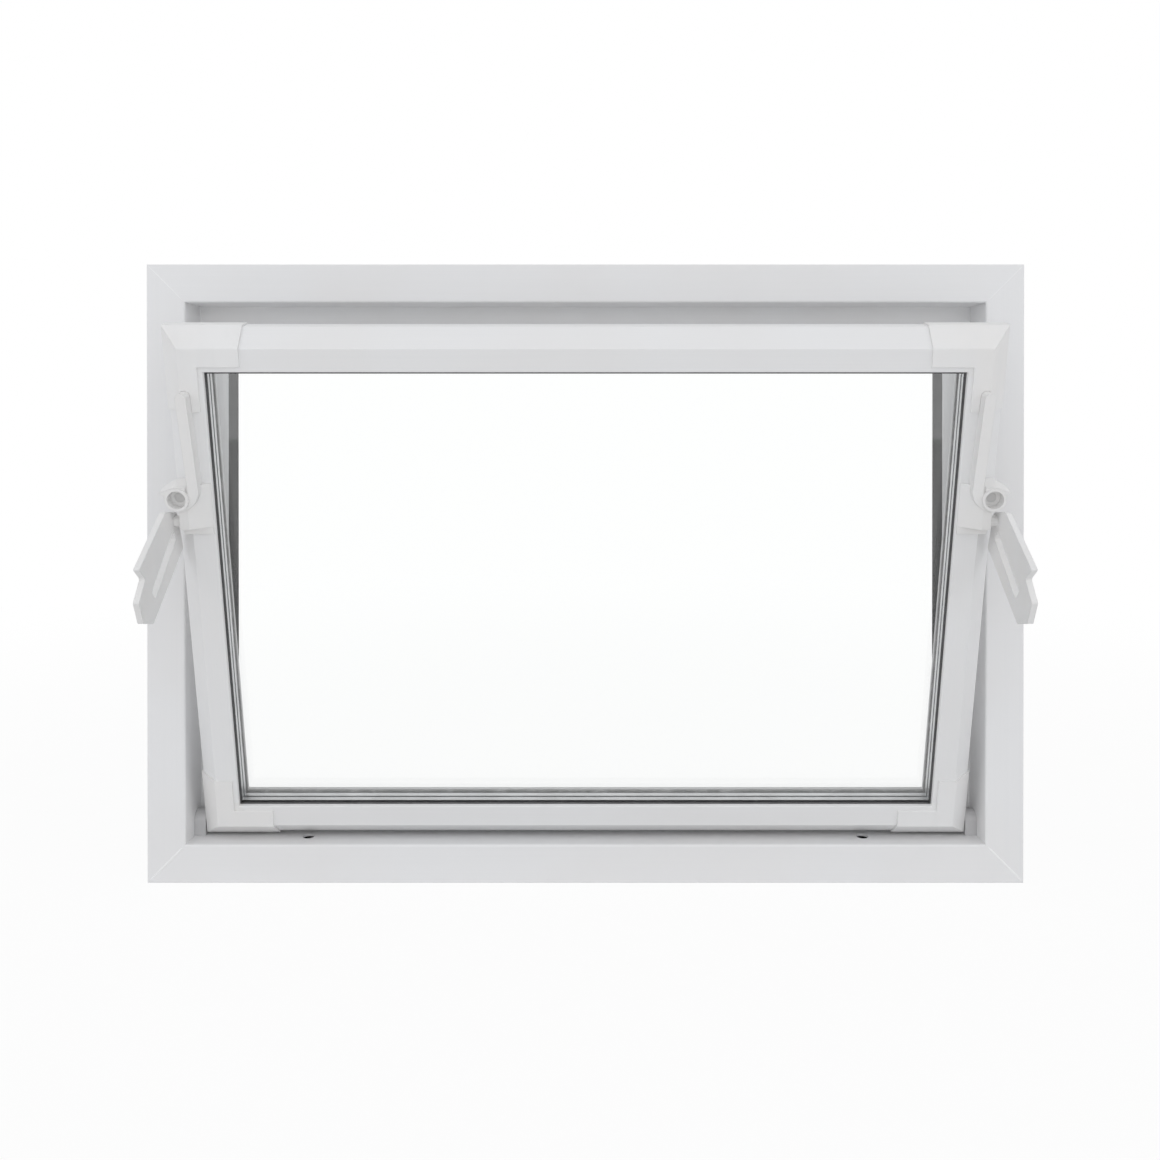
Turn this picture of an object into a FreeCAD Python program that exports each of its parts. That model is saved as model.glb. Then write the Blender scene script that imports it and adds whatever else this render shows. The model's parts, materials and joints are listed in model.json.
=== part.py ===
import FreeCAD, Part
import math
import os

# A bottom-hung hopper window of white plastic profiles, shown tilted open.
# X runs to the right as seen from the room, Y runs into the wall and Z up.
# The origin is the centre of the sill's underside, half way through the depth.
# All sizes are in millimetres.

# Outer frame
frame_width = 850.0
frame_height = 600.0
frame_depth = 78.0
frame_face = 37.0          # width of each leg seen from the room
rebate_depth = 44.0        # front face to the face of the stop
stop_projection = 28.0     # how far the stop reaches into the opening
frame_lip_radius = 2.0
clip_groove_width = 6.0
clip_groove_depth = 3.0
clip_groove_inset = 16.0   # front or rear face to the groove
fixing_hole_diameter = 12.0
fixing_hole_spacing = 548.0
fixing_hole_setback = 22.5  # front face to the hole's axis

# Sash profile
sash_rail_width = 38.2
sash_depth = 34.0
sash_side_gap = 13.5
sash_bottom_gap = 6.0
sash_top_gap = 14.5
sash_bevel = 17.3
sash_rear_chamfer = 3.0
sash_edge_radius = 1.2
tilt_angle = 13.5
tilt_axis_inset = 8.0      # tilt axis to the sash's outer edge and to its rear face

# Seal on the sash's rear face
seal_gap = 2.5             # rear face to the stop when the sash is shut
seal_width = 4.0
seal_root = 3.0
seal_inset = 14.0
seal_proud = 2.2

# Sealed glass unit in its groove
pane_thickness = 4.0
pane_spacing = 12.0
gasket_thickness = 2.0
gasket_overhang = 0.7
front_lip = 4.0
glass_hold = 12.0          # depth of the glazing groove
glass_edge_gap = 2.0
spacer_height = 7.5
spacer_overhang = 0.4
spacer_groove_width = 2.4
spacer_groove_depth = 1.5

# Moulded corner connectors
connector_wall = 1.6
connector_setback = 4.4    # bare strip of rail left beside the glass
connector_core = 42.0      # solid corner block, measured along each rail
connector_rail_leg = 71.0
connector_top_leg = 74.0
connector_bottom_leg = 66.0
connector_fit = 0.15
connector_margin = 3.2     # room left round the corner when the sleeve is cut to length

# Tilt bearings in the bottom corners of the rebate
tilt_pin_radius = 4.0
tilt_pin_reach = 15.0      # length of pin inside the sash
running_fit = 0.05
bearing_radius = 9.5
bearing_end_gap = 0.5
bearing_floor = 0.6        # left closed behind the pin

# Lever bracket on each stile. Its heights are set out from the boss.
boss_drop = 151.5          # sash's top edge to the middle of the boss
boss_inset = 10.0          # sash's outer edge to the middle of the boss
boss_radius = 10.8
boss_rise = 14.0
boss_bore_radius = 8.2
boss_bore_depth = 9.0
arm_width = 9.8
arm_height = 12.0
arm_inset = 20.6           # sash's outer edge to the middle of the arm at its top
arm_lean = 4.2
arm_top_rise = 92.0        # boss to the middle of the arm's round top
arm_foot_rise = 8.5        # boss to the start of the hook
hook_radius = 15.3
claw_reach = 15.5          # boss to the claw's tip
claw_half_width = 8.0      # boss to the ends of the claw's root
claw_crown = 16.0          # boss to the claw's rear top edge
claw_crown_place = 3.0
claw_tip_rise = 8.8
claw_slope = 5.0           # how much lower the top edge is in front
claw_front = 12.5          # stile's face to the claw's front face
claw_thickness = 14.5
screw_shank_radius = 2.4
screw_length = 24.0
screw_head_radius = 4.6
screw_head_height = 3.0
cheek_rise = 12.0          # boss to the cheek's upper end
cheek_drop = 29.0          # boss to the cheek's lower end
cheek_inset = 10.2         # sash's outer edge to the cheek's outer face
cheek_height = 11.0
cheek_flat = 8.0           # width of the level part beside the lever
cheek_toe = 0.8
cheek_end_gap = 1.0        # cheek to the rail's edge at the glass
foot_length = 7.0
foot_height = 2.0

# Slotted lever. Its outline is set out from the pivot, along the slot and across it.
lever_thickness = 5.3
lever_overhang = 2.3       # outer face past the sash's outer edge
lever_gap = 0.3
lever_droop = 30.5         # below square to the sash
lever_pivot_drop = 23.0    # boss to the pivot
lever_pivot_rise = 3.0
lever_reach = 106.0        # pivot to the tip
lever_tip_drop = 8.2
lever_rear = 33.2          # pivot to the rear edge at the root
lever_rear_end = 25.7      # pivot line to the rear edge beside the tip
lever_rear_place = 94.0
lever_second_place = 100.0
lever_second_hump = 12.3
lever_notch_place = 77.5
lever_notch = 15.8
lever_hump_place = 80.5
lever_hump = 31.8
lever_front_place = 10.0
lever_front = 22.8
lever_shoulder = 14.8
lever_root = 4.0
lever_eye_radius = 8.0
lever_hub_radius = 5.0
lever_corner = 2.5
slot_width = 11.8
slot_offset = 8.2          # pivot line to the middle of the slot
slot_start = 9.0
slot_end = 77.0
slot_corner = 3.5
lever_pin_radius = 2.5
lever_pin_head = 4.5
lever_pin_head_height = 1.6
lever_pin_play = 0.1       # lever to the pin's head
lever_pin_grip = 10.0      # length of pin inside the cheek

overcut = 5.0

# Sizes that follow from the ones above
leg_width = frame_face + stop_projection
front_y = -frame_depth / 2
stop_y = front_y + rebate_depth
sash_width = frame_width - 2 * frame_face - 2 * sash_side_gap
sash_height = frame_height - 2 * frame_face - sash_bottom_gap - sash_top_gap
sash_front_y = stop_y - seal_gap - sash_depth
sash_bottom_z = frame_face + sash_bottom_gap
tilt_axis_y = stop_y - seal_gap - tilt_axis_inset
tilt_axis_z = sash_bottom_z + tilt_axis_inset
groove_depth = 2 * gasket_thickness + 2 * pane_thickness + pane_spacing
boss_x = sash_width / 2 - boss_inset
boss_height = sash_height - boss_drop
lever_outer = sash_width / 2 + lever_overhang
lever_inner = lever_outer - lever_thickness
lever_pivot_height = boss_height - lever_pivot_drop
cheek_outer = sash_width / 2 - cheek_inset


def vector(x, y, z):
    return FreeCAD.Vector(x, y, z)


def rounded_wire(corners):
    """A closed wire in the YZ plane through (y, z, radius) corners, with tangent arcs."""
    count = len(corners)
    starts = []
    ends = []
    arcs = []
    for index in range(count):
        y, z, radius = corners[index]
        here = vector(0, y, z)
        before = vector(0, *corners[index - 1][:2])
        after = vector(0, *corners[(index + 1) % count][:2])
        if radius <= 0:
            starts.append(here)
            ends.append(here)
            arcs.append(None)
            continue
        back = (before - here).normalize()
        ahead = (after - here).normalize()
        half_angle = back.getAngle(ahead) / 2
        reach = radius / math.tan(half_angle)
        middle = (back + ahead).normalize()
        centre = here + middle * (radius / math.sin(half_angle))
        starts.append(here + back * reach)
        ends.append(here + ahead * reach)
        arcs.append(centre - middle * radius)
    edges = []
    for index in range(count):
        if arcs[index] is not None:
            arc = Part.Arc(starts[index], arcs[index], ends[index])
            edges.append(arc.toShape())
        following = starts[(index + 1) % count]
        if (following - ends[index]).Length > 1e-6:
            edges.append(Part.makeLine(ends[index], following))
    return Part.Wire(edges)


def bar(corners, length):
    """A bar of the given section, lying along X and centred on it."""
    section = Part.Face(rounded_wire(corners))
    section.translate(vector(-length / 2, 0, 0))
    return section.extrude(vector(length, 0, 0))


def flat_plate(outline, x_start, thickness):
    """A plate square to X whose outline is given as (y, z, radius) corners."""
    plate = Part.Face(rounded_wire(outline))
    plate.translate(vector(x_start, 0, 0))
    return plate.extrude(vector(thickness, 0, 0))


def block(x_low, x_high, y_low, y_high, z_low, z_high):
    corner = vector(x_low, y_low, z_low)
    return Part.makeBox(x_high - x_low, y_high - y_low, z_high - z_low, corner)


def cylinder_along_x(x_low, x_high, y, z, radius):
    return Part.makeCylinder(radius, x_high - x_low, vector(x_low, y, z), vector(1, 0, 0))


def cylinder_along_y(x, y_low, y_high, z, radius):
    return Part.makeCylinder(radius, y_high - y_low, vector(x, y_low, z), vector(0, 1, 0))


def mitred(leg, length, reach, y_low, y_high):
    """Cut both ends of a leg at 45 degrees, narrowing inwards over reach."""
    half = length / 2
    points = [
        vector(-half - reach, y_low, -reach),
        vector(half + reach, y_low, -reach),
        vector(half - reach, y_low, reach),
        vector(-half + reach, y_low, reach),
    ]
    wedge = Part.Face(Part.makePolygon(points + [points[0]]))
    return leg.common(wedge.extrude(vector(0, y_high - y_low, 0)))


def ring_legs(corners, width, height, reach):
    """Four mitred legs of one section round a width by height rectangle."""
    y_values = [corner[0] for corner in corners]
    y_low = min(y_values) - overcut
    y_high = max(y_values) + overcut
    spare = 2 * reach
    turns = {
        "bottom": (0, width, vector(0, 0, 0)),
        "top": (180, width, vector(0, 0, height)),
        "left": (90, height, vector(-width / 2, 0, height / 2)),
        "right": (-90, height, vector(width / 2, 0, height / 2)),
    }
    legs = {}
    for side, (angle, length, place) in turns.items():
        leg = mitred(bar(corners, length + spare), length, reach, y_low, y_high)
        leg.rotate(vector(0, 0, 0), vector(0, 1, 0), angle)
        leg.translate(place)
        legs[side] = leg
    return legs


def joined(pieces):
    """Fuse touching pieces into one clean solid."""
    whole = pieces[0].fuse(pieces[1:])
    return whole.removeSplitter()


def tilt(shape):
    """Move a shape from the sash's own place to its tilted place in the frame.

    The sash's own place has the front face at Y 0 and the bottom edge at Z 0.
    """
    moved = shape.copy()
    moved.translate(vector(0, sash_front_y, sash_bottom_z))
    moved.rotate(vector(0, tilt_axis_y, tilt_axis_z), vector(1, 0, 0), tilt_angle)
    return moved


def mirrored(shape):
    """The left-hand twin of a right-hand shape."""
    return shape.mirror(vector(0, 0, 0), vector(1, 0, 0))


def frame_section():
    """Section of a frame leg, grooved outside, with the stop behind the rebate."""
    rear = frame_depth
    first = clip_groove_inset
    second = frame_depth - clip_groove_inset - clip_groove_width
    corners = [(0, 0, frame_lip_radius / 2)]
    for start in (first, second):
        corners.append((start, 0, 0))
        corners.append((start, clip_groove_depth, 0))
        corners.append((start + clip_groove_width, clip_groove_depth, 0))
        corners.append((start + clip_groove_width, 0, 0))
    corners.append((rear, 0, frame_lip_radius / 2))
    corners.append((rear, leg_width, frame_lip_radius))
    corners.append((rebate_depth, leg_width, frame_lip_radius))
    corners.append((rebate_depth, frame_face, frame_lip_radius / 2))
    corners.append((0, frame_face, frame_lip_radius))
    return [(y + front_y, z, radius) for y, z, radius in corners]


def frame_pieces():
    legs = ring_legs(frame_section(), frame_width, frame_height, leg_width)
    sill = legs["bottom"]
    for side in (-1, 1):
        x = side * fixing_hole_spacing / 2
        y = front_y + fixing_hole_setback
        base = vector(x, y, -overcut)
        hole = Part.makeCylinder(fixing_hole_diameter / 2, frame_face + 2 * overcut, base)
        sill = sill.cut(hole)
    return {
        "frame_sill": sill,
        "frame_head": legs["top"],
        "frame_left_jamb": legs["left"],
        "frame_right_jamb": legs["right"],
    }


def rail_section():
    """Section of a sash rail: bevelled front, glazing groove and seal groove."""
    groove_front = front_lip
    groove_rear = front_lip + groove_depth
    groove_floor = sash_rail_width - glass_hold
    rear = sash_depth
    return [
        (sash_bevel, 0, sash_edge_radius),
        (rear - sash_rear_chamfer, 0, 0),
        (rear, sash_rear_chamfer, 0),
        (rear, seal_inset, 0),
        (rear - seal_root, seal_inset, 0),
        (rear - seal_root, seal_inset + seal_width, 0),
        (rear, seal_inset + seal_width, 0),
        (rear, sash_rail_width, sash_edge_radius),
        (groove_rear, sash_rail_width, 0),
        (groove_rear, groove_floor, 0),
        (groove_front, groove_floor, 0),
        (groove_front, sash_rail_width, 0),
        (0, sash_rail_width, sash_edge_radius),
        (0, sash_bevel, sash_edge_radius),
    ]


def sleeve_section():
    """Section of the connector's wall, wrapped round a rail's edge, bevel and face."""
    wall = connector_wall
    face_end = sash_rail_width - connector_setback
    rear = sash_depth - sash_rear_chamfer
    shift = wall * (math.sqrt(2) - 1)
    return [
        (rear, 0, 0),
        (sash_bevel, 0, sash_edge_radius),
        (0, sash_bevel, sash_edge_radius),
        (0, face_end, 0),
        (-wall, face_end, wall / 2),
        (-wall, sash_bevel - shift, sash_edge_radius + wall),
        (sash_bevel - shift, -wall, sash_edge_radius + wall),
        (rear, -wall, wall / 2),
    ]


def rail_pieces(legs):
    """Rails cut square, each end left inside its connector's socket."""
    half_width = sash_width / 2
    rail_end = half_width - connector_core
    rail_span = block(-rail_end, rail_end, -overcut, sash_depth + overcut, -overcut,
                      sash_height + overcut)
    stile_span = block(-half_width - overcut, half_width + overcut, -overcut,
                       sash_depth + overcut, connector_core, sash_height - connector_core)
    return {
        "sash_bottom_rail": legs["bottom"].common(rail_span),
        "sash_top_rail": legs["top"].common(rail_span),
        "sash_left_stile": legs["left"].common(stile_span),
        "sash_right_stile": legs["right"].common(stile_span),
    }


def corner_box(half, level, x_leg, z_leg):
    """The square region of one corner, from outside the sash inwards by its two legs."""
    if level == "top":
        z_low = sash_height - z_leg
        z_high = sash_height + connector_margin
    else:
        z_low = -connector_margin
        z_high = z_leg
    return block(half - x_leg, half + connector_margin, -2 * overcut,
                 sash_depth + overcut, z_low, z_high)


def right_connector(level, legs, sleeves, stile_leg, cutters):
    """One moulded elbow: a solid corner with a sleeve over each rail's end."""
    half = sash_width / 2
    core_box = corner_box(half, level, connector_core, connector_core)
    reach_box = corner_box(half, level, connector_rail_leg, stile_leg)
    pieces = []
    for side in (level, "right"):
        pieces.append(legs[side].common(core_box))
        pieces.append(sleeves[side].common(reach_box))
    elbow = joined(pieces)
    for cutter in cutters:
        elbow = elbow.cut(cutter)
    return elbow


def inset_block(inset, y_low, y_high):
    """A block over the whole sash, held back from its outer edges by inset."""
    half = sash_width / 2 - inset
    return block(-half, half, y_low, y_high, inset, sash_height - inset)


def glass_ring(y_low, y_high, outer_gap, inner_edge):
    """A flat ring in the glazing groove, from the glass edge to inner_edge past the lip."""
    solid = inset_block(sash_rail_width - glass_hold + outer_gap, y_low, y_high)
    hole = inset_block(sash_rail_width + inner_edge, y_low - overcut, y_high + overcut)
    return solid.cut(hole)


def spacer_ring(y_low, y_high):
    """The ring between the panes, with a groove round the middle of its inner face."""
    ring = glass_ring(y_low, y_high, glass_hold + spacer_overhang - spacer_height,
                      spacer_overhang)
    middle = (y_low + y_high) / 2
    groove = inset_block(sash_rail_width + spacer_overhang - spacer_groove_depth,
                         middle - spacer_groove_width / 2,
                         middle + spacer_groove_width / 2)
    return ring.cut(groove)


def glazing_pieces():
    """Two panes with a spacer between them, clamped between two gaskets."""
    front_gasket = front_lip
    front_pane = front_gasket + gasket_thickness
    cavity = front_pane + pane_thickness
    rear_pane = cavity + pane_spacing
    rear_gasket = rear_pane + pane_thickness
    glass_inset = sash_rail_width - glass_hold + glass_edge_gap
    return {
        "front_gasket": glass_ring(front_gasket, front_pane, glass_edge_gap, gasket_overhang),
        "front_pane": inset_block(glass_inset, front_pane, cavity),
        "glass_spacer": spacer_ring(cavity, rear_pane),
        "rear_pane": inset_block(glass_inset, rear_pane, rear_gasket),
        "rear_gasket": glass_ring(rear_gasket, rear_gasket + gasket_thickness,
                                  glass_edge_gap, gasket_overhang),
    }


def seal_piece():
    """One seal ring, its root in the rails' groove and its lip behind them."""
    rear = sash_depth
    section = [
        (rear - seal_root, seal_inset, 0),
        (rear, seal_inset, 0),
        (rear + seal_proud, seal_inset - seal_width / 4, seal_width / 3),
        (rear + seal_proud, seal_inset + seal_width, seal_width / 3),
        (rear, seal_inset + seal_width, 0),
        (rear - seal_root, seal_inset + seal_width, 0),
    ]
    legs = ring_legs(section, sash_width, sash_height, sash_rail_width)
    return joined(list(legs.values()))


def tilt_pin():
    """Pin in the right bottom connector, reaching into the bearing beside it."""
    bearing_face = sash_width / 2 + sash_side_gap
    start = sash_width / 2 - tilt_pin_reach
    end = bearing_face - bearing_floor - bearing_end_gap
    y = sash_depth - tilt_axis_inset
    return cylinder_along_x(start, end, y, tilt_axis_inset, tilt_pin_radius)


def tilt_bearing():
    """Round-topped block in the rebate's right bottom corner, drilled for the pin."""
    wall_x = frame_width / 2 - frame_face
    start = sash_width / 2 + connector_wall + bearing_end_gap
    y_low = tilt_axis_y - bearing_radius
    y_high = min(tilt_axis_y + bearing_radius, stop_y)
    foot = block(start, wall_x, y_low, y_high, frame_face, tilt_axis_z)
    top = cylinder_along_x(start, wall_x, tilt_axis_y, tilt_axis_z, bearing_radius)
    body = joined([foot, top])
    hole = cylinder_along_x(start - overcut, wall_x - bearing_floor, tilt_axis_y, tilt_axis_z,
                            tilt_pin_radius + running_fit)
    return body.cut(hole)


def prism(outline, y_low, y_high):
    """A prism along Y over an outline of (x, z) points."""
    points = [vector(x, y_low, z) for x, z in outline]
    face = Part.Face(Part.makePolygon(points + [points[0]]))
    return face.extrude(vector(0, y_high - y_low, 0))


def arm_shape(extra, y_low, y_high):
    """The leaning arm with a round top, and the hook that carries it to the boss."""
    top_x = sash_width / 2 - arm_inset
    top = boss_height + arm_top_rise
    foot_x = top_x - arm_lean
    foot = boss_height + arm_foot_rise
    width = arm_width / 2 + extra
    strip = prism([
        (top_x - width, top),
        (foot_x - width, foot),
        (foot_x + width, foot),
        (top_x + width, top),
    ], y_low, y_high)
    round_top = cylinder_along_y(top_x, y_low, y_high, top, width)
    centre_x = foot_x + hook_radius
    outside = cylinder_along_y(centre_x, y_low, y_high, foot, hook_radius + width)
    inside = cylinder_along_y(centre_x, y_low - overcut, y_high + overcut, foot,
                              hook_radius - width)
    quarter = block(foot_x - 2 * width, centre_x, y_low, y_high,
                    foot - 2 * hook_radius, foot)
    hook = outside.cut(inside).common(quarter)
    return joined([strip, round_top, hook])


def claw():
    """The pointed claw over the boss, its upper side sloping down to the front."""
    wires = []
    for y, lowered in ((-claw_front, claw_slope), (claw_thickness - claw_front, 0)):
        points = [
            vector(boss_x - claw_half_width, y, boss_height),
            vector(boss_x - claw_half_width, y, boss_height + claw_crown - lowered),
            vector(boss_x + claw_crown_place, y, boss_height + claw_crown - lowered),
            vector(boss_x + claw_reach, y, boss_height + claw_tip_rise - lowered / 2),
            vector(boss_x + claw_half_width, y, boss_height),
        ]
        wires.append(Part.makePolygon(points + [points[0]]))
    return Part.makeLoft(wires, True, True)


def stile_envelope():
    """The right stile's outside without its grooves, for seating pieces on it."""
    section = [
        (sash_bevel, 0, sash_edge_radius),
        (sash_depth, 0, 0),
        (sash_depth, 2 * sash_rail_width, 0),
        (0, 2 * sash_rail_width, 0),
        (0, sash_bevel, sash_edge_radius),
    ]
    reach = 2 * sash_rail_width
    return ring_legs(section, sash_width, sash_height, reach)["right"]


def lever_bracket(connector):
    """Arm, hooked boss, claw and sloping cheek, seated on the right stile."""
    deep = sash_bevel
    arm = arm_shape(0, -arm_height, deep)
    boss = cylinder_along_y(boss_x, -boss_rise, deep, boss_height, boss_radius)
    cheek_inner = sash_width / 2 - sash_rail_width + cheek_end_gap
    slope_top = cheek_outer - cheek_flat
    cheek_low = boss_height - cheek_drop
    cheek_face = [
        (cheek_inner, 0),
        (cheek_inner, -cheek_toe),
        (slope_top, -cheek_height),
        (cheek_outer, -cheek_height),
        (cheek_outer, deep),
        (cheek_inner, deep),
    ]
    points = [vector(x, y, cheek_low) for x, y in cheek_face]
    wedge = Part.Face(Part.makePolygon(points + [points[0]]))
    cheek = wedge.extrude(vector(0, 0, cheek_drop + cheek_rise))
    foot = block(cheek_inner, cheek_outer, -foot_height, deep, cheek_low - foot_length,
                 cheek_low)
    body = joined([arm, boss, claw(), cheek, foot])
    floor = boss_bore_depth - boss_rise
    bore = cylinder_along_y(boss_x, -boss_rise - overcut, floor, boss_height,
                            boss_bore_radius)
    head_room = cylinder_along_y(boss_x, floor - overcut, floor + screw_head_height,
                                 boss_height, screw_head_radius + running_fit)
    shank_room = cylinder_along_y(boss_x, floor, deep, boss_height,
                                  screw_shank_radius + running_fit)
    for room in (bore, head_room, shank_room, lever_pin_hole(), stile_envelope(), connector):
        body = body.cut(room)
    return body


def bracket_screw():
    """Screw through the boss into the stile, its head level with the floor of the bore."""
    floor = boss_bore_depth - boss_rise
    seat = floor + screw_head_height
    head = cylinder_along_y(boss_x, floor, seat, boss_height, screw_head_radius)
    shank = cylinder_along_y(boss_x, seat, floor + screw_length, boss_height,
                             screw_shank_radius)
    return joined([head, shank])


def lever_pin_hole():
    """Room for the lever's pin, from inside the cheek out past the lever."""
    return cylinder_along_x(cheek_outer - lever_pin_grip, lever_outer + overcut,
                            -lever_pivot_rise, lever_pivot_height,
                            lever_pin_radius + running_fit)


def lever_pin():
    head_start = lever_outer + lever_pin_play
    shank = cylinder_along_x(cheek_outer - lever_pin_grip, head_start, -lever_pivot_rise,
                             lever_pivot_height, lever_pin_radius)
    head = cylinder_along_x(head_start, head_start + lever_pin_head_height,
                            -lever_pivot_rise, lever_pivot_height, lever_pin_head)
    return joined([shank, head])


def lever():
    """Slotted lever: a flat plate on edge, with two humps and a notch at its far end.

    It is drawn lying along -Y from its pivot, its front edge upwards, and then turned.
    """
    outline = [
        (-lever_root, -lever_rear, lever_corner),
        (-lever_rear_place, -lever_rear_end, lever_corner),
        (-lever_reach, -lever_tip_drop, lever_corner),
        (-lever_second_place, lever_second_hump, lever_corner),
        (-lever_notch_place, lever_notch, lever_corner),
        (-lever_hump_place, lever_hump, lever_corner / 2),
        (-lever_front_place, lever_front, lever_corner),
        (-lever_root / 2, lever_shoulder, lever_corner),
        (lever_eye_radius, 0, lever_corner),
    ]
    plate = flat_plate(outline, lever_inner, lever_thickness)
    eye = cylinder_along_x(lever_inner, lever_outer, 0, 0, lever_eye_radius)
    hub = cylinder_along_x(cheek_outer + lever_gap, lever_outer, 0, 0, lever_hub_radius)
    blade = joined([plate, eye, hub])
    low = -slot_offset - slot_width / 2
    high = -slot_offset + slot_width / 2
    slot = flat_plate([
        (-slot_start, low, slot_corner),
        (-slot_end, low, slot_corner),
        (-slot_end, high, slot_corner),
        (-slot_start, high, slot_corner),
    ], lever_inner - overcut, lever_thickness + 2 * overcut)
    hole = cylinder_along_x(cheek_outer, lever_outer + overcut, 0, 0,
                            lever_pin_radius + running_fit)
    blade = blade.cut(slot).cut(hole)
    blade.rotate(vector(0, 0, 0), vector(1, 0, 0), lever_droop)
    blade.translate(vector(0, -lever_pivot_rise, lever_pivot_height))
    return blade


def sash_pieces():
    """Everything that tilts with the sash, in the sash's own place."""
    legs = ring_legs(rail_section(), sash_width, sash_height, sash_rail_width)
    sleeves = ring_legs(sleeve_section(), sash_width, sash_height, sash_rail_width)
    pieces = rail_pieces(legs)
    pieces.update(glazing_pieces())
    pieces["sash_seal"] = seal_piece()
    pin = tilt_pin()
    pin_hole = cylinder_along_x(sash_width / 2 - tilt_pin_reach, sash_width / 2 + overcut,
                                sash_depth - tilt_axis_inset, tilt_axis_inset,
                                tilt_pin_radius + running_fit)
    arm_room = arm_shape(connector_fit, -2 * overcut, 0)
    top = right_connector("top", legs, sleeves, connector_top_leg, [arm_room])
    bottom = right_connector("bottom", legs, sleeves, connector_bottom_leg, [pin_hole])
    stile = pieces["sash_right_stile"]
    screw = bracket_screw()
    bracket = lever_bracket(top)
    drilled = stile.cut(cylinder_along_y(boss_x, -overcut, sash_depth, boss_height,
                                         screw_shank_radius + running_fit))
    right_side = {
        "corner_top": top,
        "corner_bottom": bottom,
        "stile": drilled,
        "lever_bracket": bracket,
        "bracket_screw": screw,
        "lever": lever(),
        "lever_pin": lever_pin(),
        "tilt_pin": pin,
    }
    names = {
        "corner_top": "corner_top_{}",
        "corner_bottom": "corner_bottom_{}",
        "stile": "sash_{}_stile",
    }
    for key, shape in right_side.items():
        pattern = names.get(key, "{}_" + key)
        pieces[pattern.format("right")] = shape
        pieces[pattern.format("left")] = mirrored(shape)
    return {name: tilt(shape) for name, shape in pieces.items()}


def main():
    os.makedirs("parts", exist_ok=True)
    pieces = frame_pieces()
    bearing = tilt_bearing()
    pieces["right_tilt_bearing"] = bearing
    pieces["left_tilt_bearing"] = mirrored(bearing)
    pieces.update(sash_pieces())
    for name, shape in pieces.items():
        shape.exportStep(f"parts/{name}.step")
        print(name, shape.isValid(), len(shape.Solids), round(shape.Volume))


main()
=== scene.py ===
import json
import math

import bmesh
import bpy
from bpy.props import FloatProperty, FloatVectorProperty, PointerProperty
from mathutils import Matrix, Vector


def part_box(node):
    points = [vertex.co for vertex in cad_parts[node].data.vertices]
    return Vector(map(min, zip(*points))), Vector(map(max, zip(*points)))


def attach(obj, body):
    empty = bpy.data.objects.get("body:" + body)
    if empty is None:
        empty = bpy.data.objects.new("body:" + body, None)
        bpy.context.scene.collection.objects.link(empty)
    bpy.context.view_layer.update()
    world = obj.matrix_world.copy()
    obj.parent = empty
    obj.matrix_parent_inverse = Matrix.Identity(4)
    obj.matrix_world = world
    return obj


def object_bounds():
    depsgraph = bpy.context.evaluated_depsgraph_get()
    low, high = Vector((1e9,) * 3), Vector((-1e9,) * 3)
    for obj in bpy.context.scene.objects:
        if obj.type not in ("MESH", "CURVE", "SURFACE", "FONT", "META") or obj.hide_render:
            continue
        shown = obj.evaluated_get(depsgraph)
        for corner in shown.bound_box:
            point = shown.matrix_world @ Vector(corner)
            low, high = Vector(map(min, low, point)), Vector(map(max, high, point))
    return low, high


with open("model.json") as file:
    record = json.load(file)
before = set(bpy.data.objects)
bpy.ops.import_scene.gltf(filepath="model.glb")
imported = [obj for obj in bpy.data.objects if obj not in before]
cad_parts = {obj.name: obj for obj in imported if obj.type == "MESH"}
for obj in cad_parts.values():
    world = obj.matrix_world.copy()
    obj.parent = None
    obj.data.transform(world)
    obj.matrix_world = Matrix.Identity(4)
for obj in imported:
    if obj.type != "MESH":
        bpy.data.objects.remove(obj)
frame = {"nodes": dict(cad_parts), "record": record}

bl_info = {
    "name": "Hopper Window",
    "version": (1, 0, 0),
    "blender": (4, 5, 0),
    "location": "View3D > Sidebar > Hopper Window",
    "description": "Finishes a tilted hopper window and sets it before a pale ground",
    "category": "Object",
}

bpy.context.view_layer.update()
cad_low, cad_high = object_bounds()


def sash_lean():
    """Angle in radians between the sash and the upright, read from the front pane."""
    pane = frame["nodes"]["front_pane"].data
    widest = max(pane.polygons, key=lambda face: face.area)
    return math.atan2(abs(widest.normal.z), abs(widest.normal.y))


lean = sash_lean()
tilt_axis = Vector((0.0, *[
    sum(corner[axis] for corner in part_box("left_tilt_pin")) / 2 for axis in (1, 2)]))
sill_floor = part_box("left_tilt_bearing")[0][2]


def turned(point, angle):
    """The point turned about the sash's tilt axis."""
    return Matrix.Rotation(angle, 3, "X") @ (point - tilt_axis) + tilt_axis


def upright_corners(name):
    """The corners of a sash node, brought from its tilt to the sash's own upright place."""
    return [turned(vertex.co, -lean) for vertex in frame["nodes"][name].data.vertices]


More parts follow.
